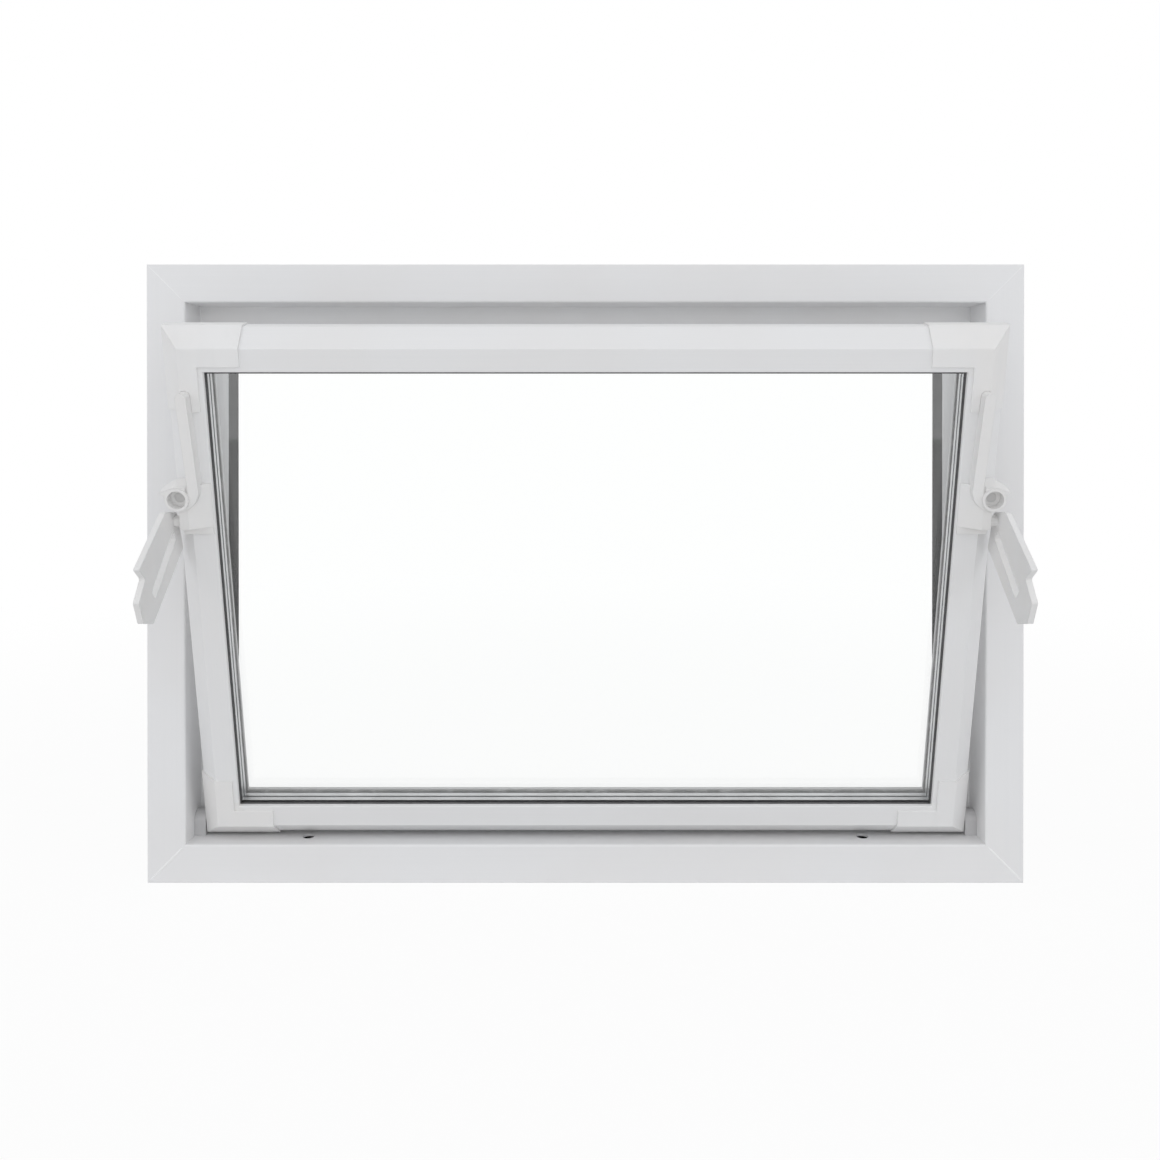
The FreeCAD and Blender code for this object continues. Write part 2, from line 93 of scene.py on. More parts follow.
class Number:
    """A value socket. Arithmetic on it adds Math nodes to its material."""

    def __init__(self, graph, socket):
        self.graph = graph
        self.socket = socket

    def worked(self, operation, *values):
        node = self.graph.add("ShaderNodeMath", {"operation": operation},
                              dict(enumerate(values)))
        return Number(self.graph, node.outputs[0])

    def __add__(self, other):
        return self.worked("ADD", self, other)

    def __radd__(self, other):
        return self.worked("ADD", other, self)

    def __sub__(self, other):
        return self.worked("SUBTRACT", self, other)

    def __rsub__(self, other):
        return self.worked("SUBTRACT", other, self)

    def __mul__(self, other):
        return self.worked("MULTIPLY", self, other)

    def __rmul__(self, other):
        return self.worked("MULTIPLY", other, self)

    def __mod__(self, other):
        return self.worked("FLOORED_MODULO", self, other)

    def __abs__(self):
        return self.worked("ABSOLUTE", self)

    def __lt__(self, other):
        return self.worked("LESS_THAN", self, other)

    def root(self):
        return self.worked("SQRT", self)

    def larger(self, other):
        return self.worked("MAXIMUM", self, other)


class Graph:
    """The nodes of one material or of the world."""

    def __init__(self, owner):
        owner.use_nodes = True
        self.tree = owner.node_tree
        self.tree.nodes.clear()

    def add(self, kind, settings=None, sockets=None):
        """Add a node: its settings first, then the values or links of its sockets."""
        node = self.tree.nodes.new(kind)
        for name, value in (settings or {}).items():
            setattr(node, name, value)
        for name, value in (sockets or {}).items():
            socket = node.inputs[name]
            if isinstance(value, Number):
                value = value.socket
            if isinstance(value, bpy.types.NodeSocket):
                self.tree.links.new(value, socket)
            else:
                socket.default_value = value
        return node

    def place(self, turn=0.0):
        """Position in the row frame, turned about the tilt axis into the sash's own place."""
        here = self.add("ShaderNodeTexCoord").outputs["Object"]
        if turn:
            here = self.add("ShaderNodeVectorRotate", {"rotation_type": "X_AXIS"}, {
                "Vector": here, "Center": tilt_axis, "Angle": -turn}).outputs[0]
        return here

    def parts(self, vector):
        """The three numbers of a vector."""
        node = self.add("ShaderNodeSeparateXYZ", None, {0: vector})
        return [Number(self, output) for output in node.outputs]

    def scaled(self, vector, factors):
        node = self.add("ShaderNodeVectorMath", {"operation": "MULTIPLY"},
                        {0: vector, 1: factors})
        return node.outputs[0]

    def noise(self, vector, scale, detail=2.0, roughness=0.5):
        node = self.add("ShaderNodeTexNoise", None, {
            "Vector": vector, "Scale": scale, "Detail": detail, "Roughness": roughness})
        return Number(self, node.outputs[0])

    def ranged(self, number, low, high, start=0.0, end=1.0):
        """The number brought from low and high to start and end, and held there."""
        node = self.add("ShaderNodeMapRange", {"interpolation_type": "SMOOTHSTEP"}, {
            "Value": number, "From Min": low, "From Max": high,
            "To Min": start, "To Max": end})
        return Number(self, node.outputs[0])

    def blend(self, factor, first, second):
        """A colour between the first at factor 0 and the second at factor 1."""
        node = self.add("ShaderNodeMix", {"data_type": "RGBA"}, {
            "Factor": factor, 6: first, 7: second})
        return node.outputs[2]

    def worn_and_highlit_edge(self, radius):
        """How sharply the surface turns within the radius, from 0 on the flat to 1, and
        the normal that rounds the edge off."""
        soft = self.add("ShaderNodeBevel", {"samples": 2}, {"Radius": radius}).outputs[0]
        true = self.add("ShaderNodeNewGeometry").outputs["Normal"]
        along = self.add("ShaderNodeVectorMath", {"operation": "DOT_PRODUCT"},
                         {0: soft, 1: true}).outputs["Value"]
        return self.ranged(1.0 - Number(self, along), 0.01, 0.25), soft

    def bump(self, height, distance, normal=None):
        sockets = {"Height": height, "Distance": distance, "Strength": 1.0}
        if normal is not None:
            sockets["Normal"] = normal
        return self.add("ShaderNodeBump", None, sockets).outputs[0]

    def surface(self, shader):
        self.add("ShaderNodeOutputMaterial", None, {"Surface": shader})


def shaded(colour, share):
    """A colour made darker or lighter by a share, as four numbers."""
    return tuple(min(1.0, part * share) for part in colour[:3]) + (1.0,)


def warmed(colour, amount):
    return (colour[0] * (1 + amount), colour[1], colour[2] * (1 - amount), 1.0)


def painted_reveal_shade(graph, here):
    """1 on the walls of the jambs' stops that look across the opening, and the painted shade
    put on them, which is dark up to about two thirds of the height and paler above."""
    finish = bpy.context.scene.hopper_finish
    x, y, z = graph.parts(here)
    wall = abs(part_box("frame_left_jamb")[1][0])
    # Painted shade: these walls get a dark colour in place of the white profile, paler above
    # the change height.
    mask = abs(x) < wall + finish.painted_shade_margin
    fade = graph.ranged(z, finish.painted_shade_change, finish.painted_shade_change + 0.010)
    return mask, graph.blend(fade, finish.painted_shade_colour, finish.upper_painted_shade_colour)


def painted_hole_shade(graph, here):
    """1 inside the sill's two fixing holes, where they pass through the hollow profile, and
    the painted shade colour that darkens them there."""
    finish = bpy.context.scene.hopper_finish
    holes = next(mount for mount in frame["record"]["mounts"]
                 if mount["name"] == "sill_fixings")
    radius = holes["dims"]["hole_r_mm"] / 1000 + finish.painted_shade_margin
    half = holes["dims"]["spacing_x_mm"] / 2000
    x, y, z = graph.parts(here)
    across = abs(x) - half
    along = y - holes["pos_m"][1]
    near = (across * across + along * along) < radius * radius
    # Painted shade: below the skin the hole walls take the dark colour of the unlit hollow.
    return near * (z < sill_floor - finish.skin_thickness), finish.painted_shade_colour


def extruded_plastic(name, colour, direction, turn, shade_painter=None):
    """Satin white profile: die lines along its length, a little mottling, fine specks and
    places that handling has dulled. Where the optional mask function gives 1, the profile
    is matt and takes the painted shade colour that the function gives."""
    finish = bpy.context.scene.hopper_finish
    material = bpy.data.materials.new(name)
    graph = Graph(material)
    here = graph.place(turn)
    fine = 1 / finish.die_line_spacing
    along = fine / 160
    stretch = (along, fine, fine) if direction == "X" else (fine, fine, along)
    lines = graph.noise(graph.scaled(here, stretch), 1.0, 2.0, 0.6)
    mottle = graph.noise(here, 9.0, 1.0)
    handling = graph.noise(here, 38.0, 2.0, 0.62)
    specks = graph.noise(here, 900.0, 1.0)
    base = graph.blend(graph.ranged(mottle, 0.35, 0.68), shaded(colour, 1.0),
                       warmed(shaded(colour, 0.982), 0.006))
    base = graph.blend(graph.ranged(lines, 0.3, 0.75, 0.0, 0.35), base,
                       shaded(colour, 0.965))
    base = graph.blend(graph.ranged(specks, 0.74, 0.80, 0.0, 0.25), base,
                       shaded(colour, 0.80))
    rough = finish.profile_roughness + graph.ranged(handling, 0.35, 0.7) * 0.10
    rough = rough + (lines - 0.5) * 0.08
    height = lines * 0.5 + handling * 6.0
    normal = graph.bump(height, 0.000004)
    shader = graph.add("ShaderNodeBsdfPrincipled", None, {
        "Base Color": base, "Roughness": rough, "Normal": normal, "IOR": 1.5,
        "Specular IOR Level": finish.profile_gloss})
    # Painted shade: where the mask is 1, a matt dark colour replaces the satin profile.
    if shade_painter:
        mask, other = shade_painter(graph, here)
        dull = graph.add("ShaderNodeBsdfPrincipled", None, {
            "Base Color": other, "Roughness": 0.9, "Specular IOR Level": 0.0})
        shader = graph.add("ShaderNodeMixShader", None, {
            0: mask, 1: shader.outputs[0], 2: dull.outputs[0]})
    graph.surface(shader.outputs[0])
    return material


def moulded_plastic(name, colour, grain, turn):
    """Injection-moulded plastic with a spark-eroded grain, slightly polished edges and a
    painted highlight on them.
    """
    finish = bpy.context.scene.hopper_finish
    material = bpy.data.materials.new(name)
    graph = Graph(material)
    here = graph.place(turn)
    cells = graph.add("ShaderNodeTexVoronoi", {"feature": "F1"}, {
        "Vector": here, "Scale": 1 / grain})
    pits = Number(graph, cells.outputs["Distance"])
    flow = graph.noise(graph.scaled(here, (1.0, 0.6, 0.25)), 55.0, 3.0, 0.55)
    cloud = graph.noise(here, 16.0, 2.0)
    # The edge mask gives the polish in roughness and a painted highlight in colour.
    edge, soft = graph.worn_and_highlit_edge(finish.moulded_edge_softness)
    base = graph.blend(graph.ranged(cloud, 0.35, 0.7), shaded(colour, 1.0),
                       warmed(shaded(colour, 0.975), 0.01))
    base = graph.blend(graph.ranged(flow, 0.45, 0.75, 0.0, 0.5), base,
                       shaded(colour, 0.955))
    base = graph.blend(graph.ranged(pits, 0.0, 0.35, 0.25, 0.0), base,
                       shaded(colour, 0.88))
    # Painted highlight: the edges are lightened by 6 per cent.
    base = graph.blend(edge * 0.4, base, shaded(colour, 1.06))
    rough = finish.moulded_roughness + (pits - 0.4) * 0.12
    rough = rough + (flow - 0.5) * 0.10 - edge * 0.12
    normal = graph.bump(pits + flow * 1.5, 0.000018, soft)
    shader = graph.add("ShaderNodeBsdfPrincipled", None, {
        "Base Color": base, "Roughness": rough, "Normal": normal, "IOR": 1.46})
    graph.surface(shader.outputs[0])
    return material


def seal_rubber(name, colour):
    """Dull black rubber with a bloom on its raised parts."""
    material = bpy.data.materials.new(name)
    graph = Graph(material)
    here = graph.place(lean)
    bloom = graph.noise(here, 70.0, 4.0, 0.6)
    grain = graph.noise(here, 2600.0, 2.0)
    base = graph.blend(graph.ranged(bloom, 0.4, 0.75, 0.0, 0.6), shaded(colour, 1.0),
                       shaded(colour, 1.9))
    rough = 0.62 + (bloom - 0.5) * 0.2
    normal = graph.bump(grain, 0.00003)
    shader = graph.add("ShaderNodeBsdfPrincipled", None, {
        "Base Color": base, "Roughness": rough, "Normal": normal, "IOR": 1.5})
    graph.surface(shader.outputs[0])
    return material


def rolled_metal(name, colour, polish, perforated):
    """Thin rolled metal with draw lines; the glass spacer also has its row of slots, painted
    near black as shade, and a middle groove with painted shade.
    """
    finish = bpy.context.scene.hopper_finish
    material = bpy.data.materials.new(name)
    graph = Graph(material)
    here = graph.place(lean)
    x, y, z = graph.parts(here)
    lines = graph.noise(graph.scaled(here, (120.0, 3500.0, 120.0)), 1.0, 2.0)
    cloud = graph.noise(here, 45.0, 3.0)
    base = graph.blend(graph.ranged(cloud, 0.35, 0.7), shaded(colour, 1.0),
                       shaded(colour, 0.88))
    rough = polish + (lines - 0.5) * 0.22
    height = lines
    metallic = 1.0
    if perforated:
        low, high = spacer_span()
        middle = (low + high) / 2
        run = x + z
        slot = (abs((run % finish.slot_pitch) - finish.slot_pitch / 2)
                < finish.slot_pitch * 0.3)
        inside = abs(y - middle) < finish.slot_height / 2
        groove = graph.ranged(abs(y - middle), finish.slot_height * 0.5,
                              finish.slot_height * 1.3, 1.0, 0.0)
        hole = slot * inside
        # Painted shade: the groove is darkened and the slots are painted near black.
        base = graph.blend(groove * 0.45, base, shaded(colour, 0.35))
        base = graph.blend(hole, base, (0.01, 0.01, 0.01, 1.0))
        metallic = 1.0 - hole * 0.9
        height = lines - hole * 30.0 - groove * 10.0
    normal = graph.bump(height, 0.000012)
    shader = graph.add("ShaderNodeBsdfPrincipled", None, {
        "Base Color": base, "Roughness": rough, "Metallic": metallic, "Normal": normal})
    graph.surface(shader.outputs[0])
    return material


def spacer_span():
    """Front and rear face of the glass spacer in the sash's own place, along Y."""
    places = [corner.y for corner in upright_corners("glass_spacer")]
    return min(places), max(places)


def float_glass(name, colour):
    """Clear pane: straight-through light, a mirror share that grows at a slant, faint dust."""
    finish = bpy.context.scene.hopper_finish
    material = bpy.data.materials.new(name)
    graph = Graph(material)
    here = graph.place(lean)
    back = Number(graph, graph.add("ShaderNodeNewGeometry").outputs["Backfacing"])
    index = finish.glass_index
    bend = index + back * (1 / index - index)
    mirror = graph.add("ShaderNodeFresnel", None, {"IOR": bend})
    dust = graph.noise(here, 260.0, 2.0, 0.7)
    film = graph.ranged(dust, 0.62, 0.80, 0.0, finish.dust)
    clear = graph.add("ShaderNodeBsdfTransparent", None, {"Color": colour})
    shade = graph.add("ShaderNodeBsdfTransparent", None, {"Color": finish.glass_shade})
    paths = graph.add("ShaderNodeLightPath")
    through = graph.add("ShaderNodeMixShader", None, {
        0: seen_directly(graph, paths), 1: shade.outputs[0], 2: clear.outputs[0]})
    shine = graph.add("ShaderNodeBsdfGlossy", None, {
        "Color": (1.0, 1.0, 1.0, 1.0), "Roughness": 0.0})
    pane = graph.add("ShaderNodeMixShader", None, {
        0: Number(graph, mirror.outputs[0]), 1: through.outputs[0], 2: shine.outputs[0]})
    haze = graph.add("ShaderNodeBsdfDiffuse", None, {"Color": (0.9, 0.9, 0.9, 1.0)})
    whole = graph.add("ShaderNodeMixShader", None, {
        0: film, 1: pane.outputs[0], 2: haze.outputs[0]})
    graph.surface(whole.outputs[0])
    return material


def dressed(names, material):
    """Give CAD nodes a finished material in every slot."""
    for name in names:
        slots = frame["nodes"][name].material_slots
        if not slots:
            raise RuntimeError(f"{name} has no material slot")
        for slot in slots:
            slot.material = material


def both(name):
    """The left and right node of a pair."""
    return [f"left_{name}", f"right_{name}"]


def added(name, shape, material):
    """Turn the shape into a smooth piece of the window."""
    bmesh.ops.recalc_face_normals(shape, faces=shape.faces)
    mesh = bpy.data.meshes.new(name)
    shape.to_mesh(mesh)
    shape.free()
    mesh.shade_smooth()
    mesh.materials.append(material)
    piece = bpy.data.objects.new(name, mesh)
    bpy.context.collection.objects.link(piece)
    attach(piece, "root")
    return piece


def weld_seam(name, start, end, width, rise, material):
    """A low rounded bead on a face towards the room, uneven, and thinner at both ends."""
    steps = 24
    arc = 8
    thin_end = 0.3
    taper = 8.0
    unevenness = 0.12
    shape = bmesh.new()
    run = end - start
    across = run.cross(Vector((0.0, 1.0, 0.0))).normalized() * (width / 2)
    outward = Vector((0.0, -rise, 0.0))
    rows = []
    for step in range(steps + 1):
        share = step / steps
        size = min(1.0, thin_end + taper * share, thin_end + taper * (1 - share))
        size *= 1.0 + unevenness * math.sin(share * 17.0) * math.sin(share * 41.0)
        row = []
        for turn in range(arc + 1):
            angle = math.pi * turn / arc
            around = across * math.cos(angle) + outward * math.sin(angle)
            row.append(shape.verts.new(start + run * share + around * size))
        rows.append(row)
    for first, second in zip(rows, rows[1:]):
        for turn in range(arc + 1):
            after = (turn + 1) % (arc + 1)
            shape.faces.new((first[turn], first[after], second[after], second[turn]))
    shape.faces.new(rows[0])
    shape.faces.new(reversed(rows[-1]))
    return added(name, shape, material)


def gasket_lip(finish, rubber):
    """The soft lip of the front gasket, wiped onto the glass and widest under the top rail."""
    side_share = 0.4
    bottom_share = 0.15
    corners = upright_corners("front_gasket")
    glass = max(corner.y for corner in corners)
    levels = sorted(corner.z for corner in corners)
    middle = (levels[0] + levels[-1]) / 2
    half = min(abs(corner.x) for corner in corners)
    top = min(level for level in levels if level > middle)
    bottom = max(level for level in levels if level < middle)
    section = ((-0.2, 0.0), (-0.2, 1.0), (0.35, 0.95), (0.75, 0.6), (1.0, 0.1), (0.95, 0.0))
    shape = bmesh.new()
    rows = []
    for side, level, climb in ((-1, bottom, bottom_share), (-1, top, -1.0),
                               (1, top, -1.0), (1, bottom, bottom_share)):
        row = []
        for inward, proud in section:
            point = Vector((side * (half - finish.lip_reach * side_share * inward),
                            glass - finish.lip_proud * proud,
                            level + finish.lip_reach * climb * inward))
            row.append(shape.verts.new(turned(point, lean)))
        rows.append(row)
    for row, following in zip(rows, rows[1:] + rows[:1]):
        for place in range(len(section)):
            after = (place + 1) % len(section)
            shape.faces.new((row[place], row[after], following[after], following[place]))
    lip = added("gasket_lip", shape, rubber)
    lip.data.shade_flat()


class HopperFinish(bpy.types.PropertyGroup):
    """Colours and surface sizes of the window."""

    profile_colour: FloatVectorProperty(
        name="Frame Colour", description="Colour of the frame's profiles",
        subtype="COLOR", size=4, min=0.0, max=1.0, default=(0.860, 0.862, 0.868, 1.0))
    sash_colour: FloatVectorProperty(
        name="Sash Colour", description="Colour of the sash's profiles",
        subtype="COLOR", size=4, min=0.0, max=1.0, default=(0.835, 0.837, 0.841, 1.0))
    connector_colour: FloatVectorProperty(
        name="Connector Colour", description="Colour of the corner connectors",
        subtype="COLOR", size=4, min=0.0, max=1.0, default=(0.840, 0.840, 0.839, 1.0))
    lever_colour: FloatVectorProperty(
        name="Lever Colour", description="Colour of the levers and their brackets",
        subtype="COLOR", size=4, min=0.0, max=1.0, default=(0.830, 0.830, 0.827, 1.0))
    rubber_colour: FloatVectorProperty(
        name="Rubber Colour", description="Colour of gaskets and seal",
        subtype="COLOR", size=4, min=0.0, max=1.0, default=(0.07, 0.07, 0.072, 1.0))
    tape_colour: FloatVectorProperty(
        name="Tape Colour", description="Colour of the tape behind the rear pane",
        subtype="COLOR", size=4, min=0.0, max=1.0, default=(0.38, 0.38, 0.38, 1.0))
    spacer_colour: FloatVectorProperty(
        name="Spacer Colour", description="Colour of the metal between the panes",
        subtype="COLOR", size=4, min=0.0, max=1.0, default=(0.60, 0.61, 0.62, 1.0))
    steel_colour: FloatVectorProperty(
        name="Steel Colour", description="Colour of pins and screws",
        subtype="COLOR", size=4, min=0.0, max=1.0, default=(0.60, 0.60, 0.61, 1.0))
    bearing_colour: FloatVectorProperty(
        name="Bearing Colour", description="Colour of the tilt bearings",
        subtype="COLOR", size=4, min=0.0, max=1.0, default=(0.58, 0.58, 0.59, 1.0))
    glass_colour: FloatVectorProperty(
        name="Glass Colour", description="Tint of the light that one glass face lets through",
        subtype="COLOR", size=4, min=0.0, max=1.0, default=(0.998, 1.0, 0.999, 1.0))
    profile_roughness: FloatProperty(
        name="Profile Roughness", description="Roughness of the satin profiles",
        default=0.42, min=0.0, max=1.0)
    profile_gloss: FloatProperty(
        name="Profile Gloss", description="How strongly the satin profiles mirror",
        default=0.3, min=0.0, max=1.0)
    moulded_roughness: FloatProperty(
        name="Moulded Roughness", description="Roughness of the moulded pieces",
        default=0.48, min=0.0, max=1.0)
    die_line_spacing: FloatProperty(
        name="Die Line Spacing", description="Distance between die lines on the profiles",
        default=0.0012, min=0.0002, unit="LENGTH")
    connector_grain: FloatProperty(
        name="Connector Grain", description="Grain size of the corner connectors",
        default=0.00045, min=0.0001, unit="LENGTH")
    lever_grain: FloatProperty(
        name="Lever Grain", description="Grain size of the levers and brackets",
        default=0.00035, min=0.0001, unit="LENGTH")
    # Painted shade: the next four settings give the colours and the mask slack and change
    # height of the dark patches on the jambs' stop walls and in the sill's holes.
    painted_shade_colour: FloatVectorProperty(
        name="Lining Colour", description="Colour of the lining inside the jambs",
        subtype="COLOR", size=4, min=0.0, max=1.0, default=(0.03, 0.03, 0.03, 1.0))
    upper_painted_shade_colour: FloatVectorProperty(
        name="Upper Lining Colour", description="Colour of the lining's upper third",
        subtype="COLOR", size=4, min=0.0, max=1.0, default=(0.162, 0.162, 0.162, 1.0))
    painted_shade_margin: FloatProperty(
        name="Lining Thickness", description="Depth of the lining in the wall it is on",
        default=0.0002, min=0.0, unit="LENGTH")
    painted_shade_change: FloatProperty(
        name="Lining Change", description="Height at which the lining turns paler",
        default=0.424, min=0.0, unit="LENGTH")
    # Below this depth the sill's fixing holes get painted shade.
    skin_thickness: FloatProperty(
        name="Skin Thickness", description="Wall of the hollow profiles",
        default=0.0022, min=0.0005, unit="LENGTH")
    lip_reach: FloatProperty(
        name="Lip Reach", description="How far the gasket's lip covers the glass on top",
        default=0.0014, min=0.0, unit="LENGTH")
    lip_proud: FloatProperty(
        name="Lip Height", description="How far the gasket's lip stands off the glass",
        default=0.0012, min=0.0, unit="LENGTH")
    seam_width: FloatProperty(
        name="Seam Width", description="Width of the weld seams on the frame's mitres",
        default=0.0022, min=0.0, unit="LENGTH")
    seam_rise: FloatProperty(
        name="Seam Height", description="How far the weld seams stand proud",
        default=0.0005, min=0.0, unit="LENGTH")
    moulded_edge_softness: FloatProperty(
        name="Moulded Edge Softness", description="Radius that softens the moulded edges",
        default=0.0008, min=0.0, unit="LENGTH")
    slot_pitch: FloatProperty(
        name="Spacer Slot Pitch", description="Distance between the spacer's slots",
        default=0.004, min=0.001, unit="LENGTH")
    slot_height: FloatProperty(
        name="Spacer Slot Height", description="Width of the spacer's slots",
        default=0.0009, min=0.0001, unit="LENGTH")
    glass_shade: FloatVectorProperty(
        name="Glass Shade", description="Light that one glass face lets on to what is behind",
        subtype="COLOR", size=4, min=0.0, max=1.0, default=(0.95, 0.95, 0.95, 1.0))
    glass_index: FloatProperty(
        name="Glass Index", description="How strongly the glass mirrors",
        default=1.45, min=1.0, max=2.0)
    dust: FloatProperty(
        name="Dust", description="Share of haze on the glass", default=0.004,
        min=0.0, max=0.2)


class HopperStage(bpy.types.PropertyGroup):
    """Floor, lamps and camera."""

    floor_width: FloatProperty(
        name="Floor Width", description="Side of the square floor",
        default=9.0, min=1.0, unit="LENGTH")
    floor_shade: FloatProperty(
        name="Floor Shade", description="Share of the real shadow that the floor shows",
        default=0.06, min=0.0, max=1.0)
    key_power: FloatProperty(
        name="Key Lamp", description="Power of the low lamp behind the camera",
        default=6.2, min=0.0, unit="POWER")
    side_power: FloatProperty(
        name="Side Lamps", description="Power of each lamp at the sides",
        default=6.2, min=0.0, unit="POWER")
    top_power: FloatProperty(
        name="Top Lamp", description="Power of the lamp overhead",
        default=2.5, min=0.0, unit="POWER")
    room_light: FloatProperty(
        name="Room Light", description="Brightness of the room on the camera's side",
        default=0.69, min=0.0, max=2.0)
    rear_light: FloatProperty(
        name="Rear Light", description="Brightness of what lies behind the window",
        default=0.42, min=0.0, max=2.0)
    focal_length: FloatProperty(
        name="Focal Length", description="Focal length in millimetres on a 36 mm sensor",
        default=34.138, min=10.0)
    camera_distance: FloatProperty(
        name="Camera Distance", description="Camera to the middle of the frame's depth",
        default=1.1044, min=0.2, unit="LENGTH")
    camera_height: FloatProperty(
        name="Camera Height", description="Height of the camera above the sill's underside",
        default=0.4562, unit="LENGTH")
    camera_pitch: FloatProperty(
        name="Camera Pitch", description="How far the camera looks down",
        default=math.radians(0.219), unit="ROTATION")
    shift_x: FloatProperty(
        name="Shift Across", description="Sideways shift of the lens", default=-0.00471)
    shift_y: FloatProperty(
        name="Shift Up", description="Upward shift of the lens", default=-0.14047)


class HOPPER_OT_frame_profiles(bpy.types.Operator):
    """Finish the four welded profiles of the outer frame."""
    bl_idname = "hopper.frame_profiles"
    bl_label = "Finish Frame Profiles"

    def execute(self, context):
        colour = context.scene.hopper_finish.profile_colour
        # The sill gets painted shade inside its fixing holes, the jambs on the walls of their
        # stops.
        level = extruded_plastic("frame_profile_level", colour, "X", 0.0, painted_hole_shade)
        upright = extruded_plastic("frame_profile_upright", colour, "Z", 0.0, painted_reveal_shade)
        dressed(["frame_sill", "frame_head"], level)
        dressed(["frame_left_jamb", "frame_right_jamb"], upright)
        return {"FINISHED"}


class HOPPER_OT_weld_seams(bpy.types.Operator):
    """Lay the weld seams on the frame's four mitres."""
    bl_idname = "hopper.weld_seams"
    bl_label = "Add Weld Seams"

    def execute(self, context):
        finish = context.scene.hopper_finish
        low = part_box("frame_sill")[0]
        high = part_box("frame_head")[1]
        sunk = 0.00005
        outer_inset = 0.0016
        inner_inset = 0.0022
        # Painted highlight: the seams' plastic is 8 per cent lighter than the frame.
        material = extruded_plastic("weld_plastic_painted_highlight", shaded(finish.profile_colour, 1.08),
                                    "X", 0.0)
        for level, height, upward, share in (
                ("bottom", low[2], 1, 1.0), ("top", high[2], -1, 0.4)):
            for side, place, inward in (("left", low[0], 1), ("right", high[0], -1)):
                corner = Vector((place, low[1] + sunk, height))
                reach = Vector((inward, 0.0, upward))
                weld_seam(f"weld_seam_{level}_{side}", corner + reach * outer_inset,
                          corner + reach * (sill_floor - inner_inset),
                          finish.seam_width * share, finish.seam_rise * share, material)
        return {"FINISHED"}


class HOPPER_OT_sash_profiles(bpy.types.Operator):
    """Finish the rails and stiles of the sash."""
    bl_idname = "hopper.sash_profiles"
    bl_label = "Finish Sash Profiles"

    def execute(self, context):
        colour = context.scene.hopper_finish.sash_colour
        level = extruded_plastic("sash_profile_level", colour, "X", lean)
        upright = extruded_plastic("sash_profile_upright", colour, "Z", lean)
        dressed(["sash_top_rail", "sash_bottom_rail"], level)
        dressed(["sash_left_stile", "sash_right_stile"], upright)
        return {"FINISHED"}


class HOPPER_OT_connectors(bpy.types.Operator):
    """Finish the moulded corner connectors of the sash."""
    bl_idname = "hopper.connectors"
    bl_label = "Finish Corner Connectors"

    def execute(self, context):
        finish = context.scene.hopper_finish
        material = moulded_plastic("connector_moulding", finish.connector_colour,
                                   finish.connector_grain, lean)
        dressed([f"corner_{level}_{side}" for level in ("top", "bottom")
                 for side in ("left", "right")], material)
        return {"FINISHED"}


class HOPPER_OT_levers(bpy.types.Operator):
    """Finish the slotted levers and the brackets that carry them."""
    bl_idname = "hopper.levers"
    bl_label = "Finish Levers and Brackets"

    def execute(self, context):
        finish = context.scene.hopper_finish
        material = moulded_plastic("lever_moulding", finish.lever_colour,
                                   finish.lever_grain, lean)
        dressed(both("lever") + both("lever_bracket"), material)
        return {"FINISHED"}


class HOPPER_OT_glazing(bpy.types.Operator):
    """Finish the panes, the spacer between them and the rubber that holds them."""
    bl_idname = "hopper.glazing"
    bl_label = "Finish Glazing"

    def execute(self, context):
        finish = context.scene.hopper_finish
        dressed(["front_pane", "rear_pane"], float_glass("pane_glass", finish.glass_colour))
        dressed(["glass_spacer"], rolled_metal("spacer_metal", finish.spacer_colour, 0.42,
                                               True))
        rubber = seal_rubber("seal_rubber", finish.rubber_colour)
        dressed(["front_gasket", "sash_seal"], rubber)
        gasket_lip(finish, rubber)
        dressed(["rear_gasket"], seal_rubber("glazing_tape", finish.tape_colour))
        return {"FINISHED"}


class HOPPER_OT_hardware(bpy.types.Operator):
    """Finish pins, screws and bearings."""
    bl_idname = "hopper.hardware"
    bl_label = "Finish Pins and Bearings"

    def execute(self, context):
        finish = context.scene.hopper_finish
        dressed(both("lever_pin") + both("tilt_pin"),
                rolled_metal("pin_steel", finish.steel_colour, 0.34, False))
        # Painted shade: the bracket screws sit at the floor of the bosses' bores and are made
        # 22 per cent darker than the levers.
        dressed(both("bracket_screw"), moulded_plastic(
            "screw_painted_shade", shaded(finish.lever_colour, 0.78), 0.0003, lean))
        dressed(both("tilt_bearing"), moulded_plastic("bearing_moulding",
                                                      finish.bearing_colour, 0.0004, 0.0))
        return {"FINISHED"}


def ground_material(width, shade):
    """Pale floor that fades into the white behind it and keeps a soft shadow."""
    material = bpy.data.materials.new("pale_floor")
    graph = Graph(material)
    x, y, z = graph.parts(graph.place())
    reach = (x * x + y * y).root()
    near = graph.ranged(reach, 0.5, width * 0.22, shade, 0.0)
    grain = graph.noise(graph.place(), 22.0, 3.0)
    colour = graph.blend(graph.ranged(grain, 0.3, 0.7), (0.86, 0.86, 0.86, 1.0),
                         (0.83, 0.83, 0.83, 1.0))
    lit = graph.add("ShaderNodeBsdfDiffuse", None, {"Color": colour})
    white = graph.add("ShaderNodeEmission", None, {
        "Color": (1.0, 1.0, 1.0, 1.0), "Strength": 1.0})
    paths = graph.add("ShaderNodeLightPath")
    seen = seen_directly(graph, paths)
    mixed = graph.add("ShaderNodeMixShader", None, {
        0: seen * (1.0 - near), 1: lit.outputs[0], 2: white.outputs[0]})
    graph.surface(mixed.outputs[0])
    return material


